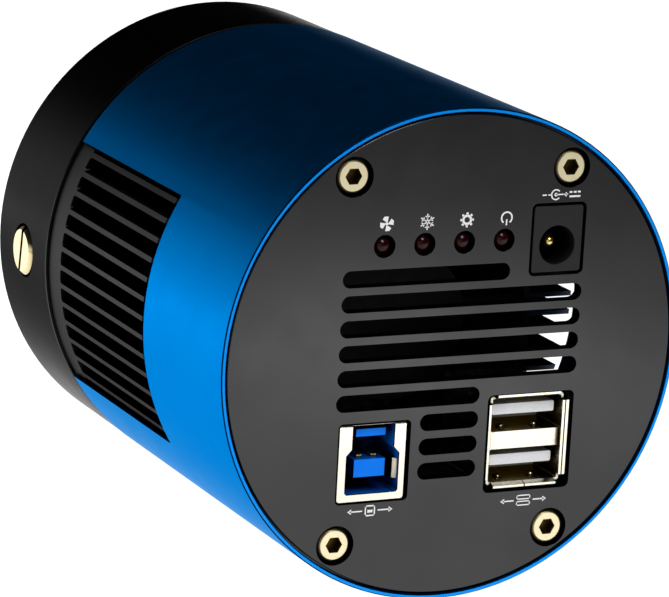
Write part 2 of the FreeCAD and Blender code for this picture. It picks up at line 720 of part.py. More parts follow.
def make_fan_rotor():
    """Hub cup with blades, magnet ring and shaft: the part of the fan that turns."""
    cup_floor = CUP_START + 1.0
    cup_bore = HUB_RADIUS - CUP_WALL
    cup = rod(HUB_RADIUS, CUP_START, CUP_END).cut(rod(cup_bore, cup_floor, CUP_END))
    boss = rod(2.2, cup_floor, cup_floor + 0.4)
    blades = []
    for step in range(FAN_BLADES):
        blade = fan_blade()
        blade.rotate(V(0, 0, 0), ALONG_Y, 360 / FAN_BLADES * step)
        blades.append(blade)
    rotor = fused([cup, boss] + blades).cut(rod(SHAFT_RADIUS, SHAFT_START, TUBE_START))
    save("fan_rotor", rotor)
    save("fan_magnet", tube(cup_bore, cup_bore - 1.0, cup_floor + 0.6, CUP_END - 0.4))
    save("fan_shaft", rod(SHAFT_RADIUS, SHAFT_START, HUB_PLATE_START))


def make_fan_motor():
    """Bearings, stator core, coils and drive board: the parts of the motor that stay still."""
    hole = SHAFT_RADIUS + SHAFT_CLEARANCE
    length = 2.0
    save("fan_bearings", [tube(BEARING_RADIUS, hole, TUBE_START + 0.2, TUBE_START + 0.2 + length),
                          tube(BEARING_RADIUS, hole, HUB_PLATE_START - length, HUB_PLATE_START)])
    shoe_outer, shoe_inner, shoe_half = 10.4, 9.3, 6.2
    coil_start, coil_end, coil_half, coil_over = 5.2, 8.8, 2.9, 0.8
    arms = [rod(4.6, CORE_START, CORE_END)]
    coils = []
    for angle in (0, 90, 180, 270):
        arm = box(3.6, shoe_inner + 0.3, CORE_START, CORE_END, -CORE_HALF, CORE_HALF)
        shoe = tube(shoe_outer, shoe_inner, CORE_START, CORE_END)
        shoe = shoe.common(box(0, shoe_outer, CORE_START, CORE_END, -shoe_half, shoe_half))
        coil = box(coil_start, coil_end, CORE_START - coil_over, CORE_END + coil_over, -coil_half, coil_half)
        coil = coil.cut(box(coil_start, coil_end, CORE_START, CORE_END, -CORE_HALF, CORE_HALF))
        for piece in (arm, shoe, coil):
            piece.rotate(V(0, 0, 0), ALONG_Y, angle)
        arms += [arm, shoe]
        coils.append(coil)
    save("fan_stator", fused(arms).cut(rod(TUBE_RADIUS, CORE_START, CORE_END)))
    save("fan_coils", coils)
    save("fan_board", tube(11.5, TUBE_RADIUS, CUP_END, HUB_PLATE_START))


def make_fan_fixings():
    """Four long screws with soft spacers that stand the fan off the fins, and its three-wire lead."""
    corners = four_corners(FAN_HOLES, FAN_HOLES)
    head_start = FAN_START - 1.8
    recess, recess_width, recess_depth = 2.6, 0.6, 1.0
    screw = fused([rod(M3_HEAD, head_start, FAN_START), rod(M3_SHANK, FAN_START, FIN_START + 8)])
    cross = [centred_box(0, 0, recess, recess_width, head_start, head_start + recess_depth),
             centred_box(0, 0, recess_width, recess, head_start, head_start + recess_depth)]
    save("fan_screws", spread(screw.cut(cross), corners))
    save("fan_spacers", spread(tube(4.3, M3_CLEAR, FAN_END, FIN_START), corners))
    wires = []
    exit_depth = 27.9
    for x in FAN_LEAD_X:
        route = [V(x, exit_depth, -FAN_SIZE / 2 + 0.6), V(x, exit_depth, FAN_LEAD_LOW),
                 V(x, LEAD_END, FAN_LEAD_LOW)]
        wires.append(lead(route, FAN_LEAD, 1.5))
    save("fan_lead", wires)


# ---- heat sink and cooler ------------------------------------------------------------------------
COOLER_HALF = 15.0
COOLER_TOP = 79.1
COOLER_LEAD = 0.7
COOLER_LEAD_X = [-4.0, 4.0]
COOLER_LEAD_TOP = 27.0
COOLER_LEAD_HOLE = 21.5
RIBBON_WIDTH = 10.0
RIBBON_THICKNESS = 0.3
RIBBON_HIGH = -21.6
RIBBON_LOW = -25.7
STANDOFF_PLACES = around(21.4, (90, 210, 330))
CHAMBER_SCREW_PLACES = around(35.5, (45, 135, 225, 315))


def make_heat_sink():
    """Round sink: level fins open to both air windows, a solid front disc and screw posts."""
    body = rod(SINK_RADIUS, FIN_START, CHAMBER_START)
    gap = (FIN_PITCH - FIN_THICKNESS) / 2
    cuts = []
    for step in range(-FIN_SPAN, FIN_SPAN):
        middle = (step + 0.5) * FIN_PITCH
        opening = box(-50, 50, FIN_START - 2, FIN_END, middle - gap, middle + gap)
        cuts.append(round_along(opening, V(1, 0, 0), FIN_ROOT_ROUND))
    edge = FIN_SPAN * FIN_PITCH + FIN_THICKNESS / 2
    cuts += [box(-50, 50, FIN_START, FIN_END, edge, 50), box(-50, 50, FIN_START, FIN_END, -50, -edge)]
    pillar_posts = spread(rod(PILLAR_POST, FIN_START, FIN_END), four_corners(PILLAR_X, PILLAR_Z))
    fan_posts = spread(rod(FAN_POST, FIN_START, FIN_END), four_corners(FAN_HOLES, FAN_HOLES))
    sink = fused([body.cut(cuts)] + pillar_posts + fan_posts)
    holes = spread(rod(M3_HOLE, FIN_START, FIN_START + 7), four_corners(PILLAR_X, PILLAR_Z))
    holes += spread(rod(M3_HOLE, FIN_START, FIN_START + 9), four_corners(FAN_HOLES, FAN_HOLES))
    holes += spread(rod(M3_HOLE, CHAMBER_START - 5, CHAMBER_START), CHAMBER_SCREW_PLACES)
    holes += spread(rod(M2_HOLE, CHAMBER_START - 3, CHAMBER_START), STANDOFF_PLACES)
    holes += [rod(COOLER_LEAD + 0.2, FIN_END, CHAMBER_START, x, COOLER_LEAD_HOLE) for x in COOLER_LEAD_X]
    holes.append(centred_box(0, RIBBON_HIGH, RIBBON_WIDTH + 0.6, 0.9, FIN_END, CHAMBER_START))
    save("heat_sink", sink.cut(holes))


def make_cooler():
    """Peltier cooler: two ceramic plates with rows of pellets between them, and two leads."""
    plate = 0.6
    hot = box(-COOLER_HALF, COOLER_HALF, CHAMBER_START, CHAMBER_START + plate, -COOLER_HALF, COOLER_HALF)
    cold = box(-COOLER_HALF, COOLER_HALF, COOLER_TOP - plate, COOLER_TOP, -COOLER_HALF, COOLER_HALF)
    save("cooler_plates", [hot, cold])
    pitch = 5.6
    pellets = []
    for column in range(-2, 3):
        for row in range(-2, 3):
            pellets.append(centred_box(column * pitch, row * pitch, 2.4, 2.4,
                                       CHAMBER_START + plate, COOLER_TOP - plate))
    save("cooler_pellets", pellets)
    wires = []
    for x in COOLER_LEAD_X:
        depth = 77.7
        route = [V(x, depth, COOLER_HALF - 1.2), V(x, depth, COOLER_LEAD_HOLE), V(x, 58, COOLER_LEAD_HOLE),
                 V(x, 44, COOLER_LEAD_TOP), V(x, LEAD_END, COOLER_LEAD_TOP)]
        wires.append(lead(route, COOLER_LEAD, 2.1))
    save("cooler_leads", wires)


def make_cold_finger_and_foam():
    """Metal block that carries heat from the sensor to the cooler, in a ring of foam."""
    plate = box(-12, 12, COOLER_TOP, COOLER_TOP + 1.4, -12, 12)
    post = box(-6, 6, COOLER_TOP + 1.4, SENSOR_FACE, -6, 6)
    save("cold_finger", fused([plate, post]))
    foam = rod(CAVITY_RADIUS - 0.2, CHAMBER_START, COOLER_TOP + 1.0)
    foam = foam.cut(centred_box(0, 0, 2 * COOLER_HALF + 0.4, 2 * COOLER_HALF + 0.4, 70, 90))
    cuts = spread(rod(2.6, 70, 90), STANDOFF_PLACES)
    cuts.append(centred_box(0, RIBBON_HIGH, RIBBON_WIDTH + 1, 1.2, 70, 90))
    for x in COOLER_LEAD_X:
        cuts.append(box(x - 0.9, x + 0.9, 70, 78.6, COOLER_HALF, COOLER_LEAD_HOLE + 0.9))
    save("insulation_foam", foam.cut(cuts))


# ---- image sensor --------------------------------------------------------------------------------
SENSOR_BOARD_START = 81.1
SENSOR_FACE = 82.5


def make_sensor():
    """Sensor board on three standoffs, with the sensor package, die and cover glass in front."""
    board = rod(23.5, SENSOR_BOARD_START, SENSOR_FACE)
    holes = spread(rod(M2_HOLE, 70, 90), STANDOFF_PLACES)
    holes.append(centred_box(0, 0, 12.6, 12.6, 70, 90))
    save("sensor_board", board.cut(holes))
    post = fused([rod(2.0, CHAMBER_START, SENSOR_BOARD_START),
                  rod(M2_SHANK, CHAMBER_START - 2.5, CHAMBER_START)])
    post = post.cut(rod(M2_HOLE, SENSOR_BOARD_START - 2.6, SENSOR_BOARD_START))
    save("sensor_standoffs", spread(post, STANDOFF_PLACES))
    screw = fused([rod(M2_SHANK, SENSOR_BOARD_START - 2.4, SENSOR_FACE),
                   rod(M2_HEAD, SENSOR_FACE, SENSOR_FACE + 1.3)])
    save("sensor_board_screws", spread(screw, STANDOFF_PLACES))
    die_width, die_height = 19.6, 13.6
    die_seat = SENSOR_FACE + 0.8
    glass_seat = SENSOR_FACE + 1.6
    package_end = SENSOR_FACE + 2.4
    package = soft_box(0, 0, die_width + 7.4, die_height + 7.4, SENSOR_FACE, package_end, 0.6)
    package = package.cut([centred_box(0, 0, die_width + 2.8, die_height + 2.8, die_seat, package_end),
                           centred_box(0, 0, die_width + 4.8, die_height + 4.8, glass_seat, package_end)])
    save("sensor_package", package)
    save("sensor_die", centred_box(0, 0, die_width, die_height, die_seat, die_seat + 0.4))
    glass = centred_box(0, 0, die_width + 4.6, die_height + 4.6, glass_seat, package_end - 0.1)
    save("sensor_cover_glass", glass)


def make_sensor_ribbon():
    """Flat ribbon from the sensor board, through the sink and under the fan, to the lower board."""
    points = [V(0, SENSOR_BOARD_START, RIBBON_HIGH), V(0, 60, RIBBON_HIGH), V(0, 46, RIBBON_LOW),
              V(0, 15.6, RIBBON_LOW)]
    path = bent_wire(points, 8.0)
    half = RIBBON_WIDTH / 2
    thin = RIBBON_THICKNESS / 2
    corners = [V(-half, SENSOR_BOARD_START, RIBBON_HIGH - thin), V(half, SENSOR_BOARD_START, RIBBON_HIGH - thin),
               V(half, SENSOR_BOARD_START, RIBBON_HIGH + thin), V(-half, SENSOR_BOARD_START, RIBBON_HIGH + thin)]
    section = Part.makePolygon(corners + corners[:1])
    save("sensor_ribbon", path.makePipeShell([section], True, False))


# ---- sealed chamber and front --------------------------------------------------------------------
FLANGE_SCREW_PLACES = around(26.0, (30, 90, 150, 210, 270, 330))
SEAT_START = 89.7
SEAT_RADIUS = 17.5
LIGHT_OPENING = 14.2
SEAL_RADIUS = 29.2
SEAL_SECTION = 0.8
SEAL_GROOVE = 2.2
DRYING_WALL = -24.8


def make_chamber():
    """Black front housing: sensor cavity, window seat, flange recess and the drying port in its side."""
    chamfer = 0.15
    body = turned([
        (0, CHAMBER_START), (CHAMBER_RADIUS - chamfer, CHAMBER_START),
        (CHAMBER_RADIUS, CHAMBER_START + chamfer),
        (CHAMBER_RADIUS, LENGTH - 0.5), (CHAMBER_RADIUS - 0.5, LENGTH), (0, LENGTH),
    ])
    cuts = [
        rod(CAVITY_RADIUS, CHAMBER_START, CAVITY_END),
        rod(LIGHT_OPENING, CAVITY_END, SEAT_START),
        rod(SEAT_RADIUS, SEAT_START, LENGTH),
        rod(FLANGE_RADIUS + 0.1, FLANGE_START, LENGTH),
        tube(SEAL_RADIUS + SEAL_GROOVE / 2, SEAL_RADIUS - SEAL_GROOVE / 2, CHAMBER_START,
             CHAMBER_START + 2 * SEAL_SECTION),
        cross_rod(PLUG_HOLE, -BODY_RADIUS, PLUG_SEAT, PLUG_DEPTH, PLUG_Z),
        cross_rod(PLUG_THREAD, PLUG_SEAT - 1, DRYING_WALL, PLUG_DEPTH, PLUG_Z),
        cross_rod(2.0, DRYING_WALL - 0.2, -CAVITY_RADIUS + 1, PLUG_DEPTH, PLUG_Z),
    ]
    cuts += spread(rod(M3_HOLE, FLANGE_START - 4, FLANGE_START), FLANGE_SCREW_PLACES)
    cuts += spread(rod(M3_CLEAR, CHAMBER_START, LENGTH), CHAMBER_SCREW_PLACES)
    cuts += spread(rod(M3_HEAD + 0.35, LENGTH - M3_HEAD_HEIGHT - 0.4, LENGTH), CHAMBER_SCREW_PLACES)
    save("chamber", body.cut(cuts))
    ring = Part.makeTorus(SEAL_RADIUS, SEAL_SECTION, V(0, CHAMBER_START + SEAL_SECTION, 0), ALONG_Y)
    save("chamber_o_ring", ring)
    screw = cap_screw(21.0, M3_HEAD, M3_HEAD_HEIGHT, M3_SHANK, M3_HEX, 0.3)
    screw.rotate(V(0, 0, 0), V(0, 0, 1), 180)
    screw.translate(V(0, LENGTH - 0.4, 0))
    save("chamber_screws", spread(screw, CHAMBER_SCREW_PLACES))


def make_front_window():
    """Window glass on its O-ring, held by a threaded ring with two spanner slots."""
    top = GLASS_START + GLASS_THICKNESS
    edge = 0.2
    glass = turned([(0, GLASS_START), (GLASS_RADIUS - edge, GLASS_START), (GLASS_RADIUS, GLASS_START + edge),
                    (GLASS_RADIUS, top - edge), (GLASS_RADIUS - edge, top), (0, top)])
    save("window_glass", glass)
    section = (GLASS_START - SEAT_START) / 2
    save("window_o_ring", Part.makeTorus(15.9, section, V(0, SEAT_START + section, 0), ALONG_Y))
    ring_end = top + 1.2
    retainer = tube(SEAT_RADIUS - 0.05, 14.6, top, ring_end)
    slots = [centred_box(side * 16.2, 0, 2.0, 1.2, top + 0.5, ring_end) for side in (-1, 1)]
    save("window_retainer", retainer.cut(slots))


def make_front_flange():
    """Screwed-on front ring with the internal thread that the telescope adapter screws into."""
    ring = turned([
        (THREAD_RADIUS, FLANGE_START), (FLANGE_RADIUS, FLANGE_START), (FLANGE_RADIUS, LENGTH - 0.2),
        (FLANGE_RADIUS - 0.2, LENGTH), (THREAD_RADIUS, LENGTH),
    ])
    cuts = spread(rod(M3_CLEAR, FLANGE_START, LENGTH), FLANGE_SCREW_PLACES)
    cuts += spread(rod(M3_HEAD + 0.25, LENGTH - 2.0, LENGTH), FLANGE_SCREW_PLACES)
    save("front_flange", ring.cut(cuts))
    screw = cap_screw(6.0, M3_HEAD, 1.7, M3_SHANK, 2.0, 0.2)
    screw.rotate(V(0, 0, 0), V(0, 0, 1), 180)
    screw.translate(V(0, LENGTH - 0.3, 0))
    save("flange_screws", spread(screw, FLANGE_SCREW_PLACES))


def make_desiccant_plug():
    """Slotted brass plug in the chamber's side, its O-ring and the drying tablet behind it."""
    squeeze = 0.8
    head_back = PLUG_SEAT - squeeze
    shank = PLUG_THREAD - PLUG_CLEARANCE
    slot_half = 0.45
    slot_depth = 1.3
    slot_tilt = 9
    head = cross_rod(PLUG_HEAD, PLUG_FACE, head_back, PLUG_DEPTH, PLUG_Z)
    rims = [e for e in head.Edges if abs(e.BoundBox.XMax - PLUG_FACE) < 1e-6 and e.BoundBox.XLength < 1e-6]
    head = head.makeChamfer(0.6, rims)
    body = fused([head, cross_rod(shank, head_back, -31.0, PLUG_DEPTH, PLUG_Z)])
    slot = box(PLUG_FACE, PLUG_FACE + slot_depth, PLUG_DEPTH - slot_half, PLUG_DEPTH + slot_half,
               PLUG_Z - 10, PLUG_Z + 10)
    slot.rotate(V(0, PLUG_DEPTH, PLUG_Z), V(1, 0, 0), slot_tilt)
    save("desiccant_plug", body.cut(slot))
    ring_middle = V(head_back + squeeze / 2, PLUG_DEPTH, PLUG_Z)
    ring = Part.makeTorus(shank + squeeze / 2, squeeze / 2, ring_middle, V(1, 0, 0))
    save("desiccant_plug_o_ring", ring)
    save("desiccant_tablet", cross_rod(3.2, -30.6, -25.0, PLUG_DEPTH, PLUG_Z))


def main():
    os.makedirs("parts", exist_ok=True)
    make_shell()
    make_rear_cover()
    make_rear_screws_and_pillars()
    make_brackets()
    make_boards()
    make_power_jack()
    make_indicator_lamps()
    make_square_port()
    make_stacked_port()
    make_fan_frame()
    make_fan_rotor()
    make_fan_motor()
    make_fan_fixings()
    make_heat_sink()
    make_cooler()
    make_cold_finger_and_foam()
    make_sensor()
    make_sensor_ribbon()
    make_chamber()
    make_front_window()
    make_front_flange()
    make_desiccant_plug()


main()
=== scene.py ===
import json
import math

import bmesh
import bpy
from mathutils import Matrix, Vector


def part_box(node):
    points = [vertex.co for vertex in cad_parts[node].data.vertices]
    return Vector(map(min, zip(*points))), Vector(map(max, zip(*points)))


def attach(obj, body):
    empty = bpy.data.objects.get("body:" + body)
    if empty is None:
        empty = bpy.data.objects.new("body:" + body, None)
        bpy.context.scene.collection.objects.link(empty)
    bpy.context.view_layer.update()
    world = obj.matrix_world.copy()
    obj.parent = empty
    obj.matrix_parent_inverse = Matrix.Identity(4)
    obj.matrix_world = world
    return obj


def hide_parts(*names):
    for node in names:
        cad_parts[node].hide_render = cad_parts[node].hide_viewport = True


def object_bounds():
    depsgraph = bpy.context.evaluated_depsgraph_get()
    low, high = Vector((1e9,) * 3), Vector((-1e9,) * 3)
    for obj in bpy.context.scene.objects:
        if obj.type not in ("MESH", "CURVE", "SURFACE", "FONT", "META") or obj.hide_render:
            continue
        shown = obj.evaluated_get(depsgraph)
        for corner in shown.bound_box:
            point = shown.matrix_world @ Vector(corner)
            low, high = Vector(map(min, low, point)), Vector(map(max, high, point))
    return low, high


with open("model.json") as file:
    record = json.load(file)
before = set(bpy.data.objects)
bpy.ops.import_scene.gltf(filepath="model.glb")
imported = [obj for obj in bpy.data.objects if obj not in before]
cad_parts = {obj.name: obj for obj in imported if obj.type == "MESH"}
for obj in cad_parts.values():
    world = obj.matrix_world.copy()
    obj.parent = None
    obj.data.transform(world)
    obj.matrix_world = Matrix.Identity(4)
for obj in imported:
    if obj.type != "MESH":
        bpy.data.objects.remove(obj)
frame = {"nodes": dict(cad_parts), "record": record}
CAD_BOX = [list(corner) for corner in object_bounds()]

MM = 0.001
BODY = "camera_body"

# ---- places taken from the frame -----------------------------------------------------------------
REAR_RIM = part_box("shell")[0].y
COVER_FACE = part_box("rear_cover")[0].y
FLOOR_LEVEL = CAD_BOX[0][2]


# ---- material building blocks --------------------------------------------------------------------
def new_material(name, color, metallic, roughness, **sockets):
    """A Principled material; extra sockets are given by name, with _ for each space."""
    material = bpy.data.materials.new(name)
    material.use_nodes = True
    shader = material.node_tree.nodes["Principled BSDF"]
    shader.inputs["Base Color"].default_value = (*color, 1.0)
    shader.inputs["Metallic"].default_value = metallic
    shader.inputs["Roughness"].default_value = roughness
    for socket, value in sockets.items():
        shader.inputs[socket.replace("_", " ")].default_value = value
    return material


def shader_of(material):
    return material.node_tree.nodes["Principled BSDF"]


def add_node(material, kind, **values):
    """A shader node with its attributes set."""
    node = material.node_tree.nodes.new(kind)
    for key, value in values.items():
        setattr(node, key, value)
    return node


def link(material, output, socket):
    material.node_tree.links.new(output, socket)


def coordinates(material, stretch=(1, 1, 1)):
    """Object coordinates, in metres, stretched along an axis where a grain runs."""
    source = add_node(material, "ShaderNodeTexCoord")
    mapping = add_node(material, "ShaderNodeMapping")
    mapping.inputs["Scale"].default_value = stretch
    link(material, source.outputs["Object"], mapping.inputs["Vector"])
    return mapping.outputs["Vector"]


def noise(material, grain_mm, detail=3.0, stretch=(1, 1, 1), rough=0.5):
    """Noise whose features are about grain_mm across."""
    texture = add_node(material, "ShaderNodeTexNoise")
    texture.inputs["Scale"].default_value = 1.0 / (grain_mm * MM)
    texture.inputs["Detail"].default_value = detail
    texture.inputs["Roughness"].default_value = rough
    link(material, coordinates(material, stretch), texture.inputs["Vector"])
    return texture.outputs["Fac"]


def remap(material, value, low, high, from_low=0.3, from_high=0.7):
    """Spread a signal, which runs from 0.3 to 0.7 unless stated, over low to high."""
    node = add_node(material, "ShaderNodeMapRange")
    node.inputs["From Min"].default_value = from_low
    node.inputs["From Max"].default_value = from_high
    node.inputs["To Min"].default_value = low
    node.inputs["To Max"].default_value = high
    link(material, value, node.inputs["Value"])
    return node.outputs["Result"]


def vary_roughness(material, value, low, high):
    link(material, remap(material, value, low, high), shader_of(material).inputs["Roughness"])


def vary_color(material, value, first, second):
    """Mix the base colour between two colours by a noise signal."""
    mix = add_node(material, "ShaderNodeMix", data_type="RGBA")
    mix.inputs["A"].default_value = (*first, 1.0)
    mix.inputs["B"].default_value = (*second, 1.0)
    link(material, remap(material, value, 0.0, 1.0), mix.inputs["Factor"])
    link(material, mix.outputs["Result"], shader_of(material).inputs["Base Color"])


def bump(material, value, depth_mm, strength=1.0, under=None):
    """Bump from a height signal; under is an earlier bump's output to build on."""
    node = add_node(material, "ShaderNodeBump")
    node.inputs["Strength"].default_value = strength
    node.inputs["Distance"].default_value = depth_mm * MM
    link(material, value, node.inputs["Height"])
    if under is not None:
        link(material, under, node.inputs["Normal"])
    link(material, node.outputs["Normal"], shader_of(material).inputs["Normal"])
    return node.outputs["Normal"]


RECESS_SAMPLES = 8


def paint_recess_shade(material, reach_mm, tint, closed, open_air):
    """Paint shade into the base colour: multiply it by a dark tint where surfaces close in, in sockets,
    mouths and grooves.

    The tint, the painted shade, is full at an openness of closed and gone at open_air.
    """
    shader = shader_of(material)
    color = shader.inputs["Base Color"].links[0].from_socket
    openness = add_node(material, "ShaderNodeAmbientOcclusion", samples=RECESS_SAMPLES)
    openness.inputs["Distance"].default_value = reach_mm * MM
    shade = add_node(material, "ShaderNodeMix", data_type="RGBA")
    shade.inputs["A"].default_value = (*tint, 1.0)
    shade.inputs["B"].default_value = (1, 1, 1, 1)
    amount = remap(material, openness.outputs["AO"], 0.0, 1.0, closed, open_air)
    link(material, amount, shade.inputs["Factor"])
    product = add_node(material, "ShaderNodeVectorMath", operation="MULTIPLY")
    link(material, color, product.inputs[0])
    link(material, shade.outputs["Result"], product.inputs[1])
    link(material, product.outputs["Vector"], shader.inputs["Base Color"])


WAVE_PITCH = 0.314      # the wave texture's pitch, in metres, at a scale of 1


def waves(material, pitch_mm, direction):
    """Regular smooth bands across one axis."""
    texture = add_node(material, "ShaderNodeTexWave", wave_type="BANDS", bands_direction=direction)
    texture.inputs["Scale"].default_value = WAVE_PITCH / (pitch_mm * MM)
    texture.inputs["Distortion"].default_value = 0.0
    link(material, coordinates(material), texture.inputs["Vector"])
    return texture.outputs["Fac"]


# ---- materials -----------------------------------------------------------------------------------
# Where a finish takes a recess, it holds the values that the painted recess shade above takes: reach_mm,
# tint, closed and open_air.


def anodised(name, color, second, roughness, recess=None, **sockets):
    """Bead-blasted, dyed aluminium: fine even grain and very faint cloudiness in colour and gloss; recess
    paints shade into its hollows.
    """
    material = new_material(name, color, 1.0, roughness, **sockets)
    vary_color(material, noise(material, 14.0, 2.0), color, second)
    if recess:
        paint_recess_shade(material, *recess)
    vary_roughness(material, noise(material, 5.0, 3.0), roughness - 0.015, roughness + 0.02)
    bump(material, noise(material, 0.14, 2.0, rough=0.6), 0.003, 0.35)
    return material


BAND_BLEND_MM = 0.02


def paint_rim_shade_and_highlight(material, edge, bands):
    """Paint narrow bands of shade and light that start at the rear edge, widest first; the last one is less
    metallic.
    """
    place = add_node(material, "ShaderNodeTexCoord")
    split = add_node(material, "ShaderNodeSeparateXYZ")
    link(material, place.outputs["Object"], split.inputs["Vector"])
    shader = shader_of(material)
    for color, width_mm in bands:
        end = edge + width_mm * MM
        band = remap(material, split.outputs["Y"], 1.0, 0.0, end - BAND_BLEND_MM * MM, end)
        mix = add_node(material, "ShaderNodeMix", data_type="RGBA")
        link(material, shader.inputs["Base Color"].links[0].from_socket, mix.inputs["A"])
        mix.inputs["B"].default_value = (*color, 1.0)
        link(material, band, mix.inputs["Factor"])
        link(material, mix.outputs["Result"], shader.inputs["Base Color"])
    link(material, remap(material, band, 1.0, 0.35, 0.0, 1.0), shader.inputs["Metallic"])
    return material


def turned_metal(name, color, second, roughness, metallic=1.0, recess=None, **sockets):
    """Bright machined metal with fine tool marks and small stains; recess paints shade into its sockets."""
    material = new_material(name, color, metallic, roughness, **sockets)
    vary_color(material, noise(material, 0.9, 5.0), color, second)
    if recess:
        paint_recess_shade(material, *recess)
    vary_roughness(material, noise(material, 0.5, 4.0), roughness - 0.04, roughness + 0.06)
    bump(material, noise(material, 0.12, 3.0, stretch=(1, 6, 1)), 0.002, 0.3)
    return material


def sheet_metal(name, color, second, roughness, recess=None, **sockets):
    """Plated spring sheet with long faint rolling marks; recess paints shade inside it."""
    material = new_material(name, color, 1.0, roughness, **sockets)
    vary_color(material, noise(material, 1.6, 4.0), color, second)
    if recess:
        paint_recess_shade(material, *recess)
    stains = noise(material, 0.5, 3.0, stretch=(1, 0.15, 1))
    vary_roughness(material, stains, roughness - 0.05, roughness + 0.1)
    bump(material, noise(material, 0.25, 3.0, stretch=(1, 0.2, 1)), 0.006, 0.35)
    return material


def moulded(name, color, second, roughness, grain=0.25, depth=0.006, recess=None, **sockets):
    """Moulded plastic with a fine spark-eroded texture; recess paints shade into its hollows."""
    material = new_material(name, color, 0.0, roughness, **sockets)
    vary_color(material, noise(material, 4.0, 3.0), color, second)
    if recess:
        paint_recess_shade(material, *recess)
    vary_roughness(material, noise(material, 1.5, 3.0), roughness - 0.05, roughness + 0.08)
    bump(material, noise(material, grain, 3.0), depth, 0.5)
    return material


def board_finish(name, color, trace):
    """Green solder mask over copper tracks."""
    material = new_material(name, color, 0.0, 0.35, Coat_Weight=0.4, Coat_Roughness=0.2)
    brick = add_node(material, "ShaderNodeTexBrick")
    brick.inputs["Scale"].default_value = 220.0
    brick.inputs["Mortar Size"].default_value = 0.03
    brick.inputs["Color1"].default_value = (*color, 1)
    brick.inputs["Color2"].default_value = (*[c * 0.8 for c in color], 1)
    brick.inputs["Mortar"].default_value = (*trace, 1)
    link(material, coordinates(material), brick.inputs["Vector"])
    link(material, brick.outputs["Color"], shader_of(material).inputs["Base Color"])
    bump(material, brick.outputs["Fac"], 0.03, 0.4)
    vary_roughness(material, noise(material, 1.0, 3.0), 0.28, 0.42)
    return material


def lamp_epoxy():
    """Very dark red epoxy over an unlit lamp die."""
    dark, darker = (0.02, 0.0003, 0.0008), (0.012, 0.0002, 0.0005)
    material = new_material("lamp_epoxy", dark, 0.0, 0.22, Transmission_Weight=0.1,
                            IOR=1.4, Specular_IOR_Level=0.3)
    vary_color(material, noise(material, 1.2, 2.0), dark, darker)
    vary_roughness(material, noise(material, 0.4, 2.0), 0.17, 0.23)
    bump(material, noise(material, 0.5, 2.0), 0.006, 0.3)
    return material


def clear_glass():
    """Coated window glass with a faint tint and a trace of haze."""
    material = new_material("clear_glass", (0.92, 0.98, 0.97), 0.0, 0.02, Transmission_Weight=1.0, IOR=1.5)
    vary_color(material, noise(material, 12.0, 2.0), (0.92, 0.98, 0.97), (0.88, 0.95, 0.98))
    vary_roughness(material, noise(material, 3.0, 4.0), 0.0, 0.035)
    bump(material, noise(material, 6.0, 1.0), 0.001, 0.2)
    return material


def silicon():
    """Sensor die: dark, glossy, with a fine cell grid and a purple-green sheen."""
    material = new_material("silicon", (0.03, 0.03, 0.06), 0.6, 0.14, Coat_Weight=0.8, Coat_Roughness=0.04)
    vary_color(material, noise(material, 7.0, 2.0), (0.025, 0.02, 0.07), (0.015, 0.05, 0.06))
    rows = bump(material, waves(material, 0.12, "Z"), 0.002, 0.3)
    bump(material, waves(material, 0.12, "X"), 0.002, 0.3, rows)
    return material


def ribbon_film():
    """Amber polyimide film over parallel copper tracks."""
    material = new_material("ribbon_film", (0.5, 0.2, 0.03), 0.0, 0.3, Coat_Weight=0.5)
    tracks = waves(material, 0.8, "X")
    vary_color(material, tracks, (0.55, 0.24, 0.04), (0.28, 0.09, 0.015))
    bump(material, tracks, 0.03, 0.4)
    return material


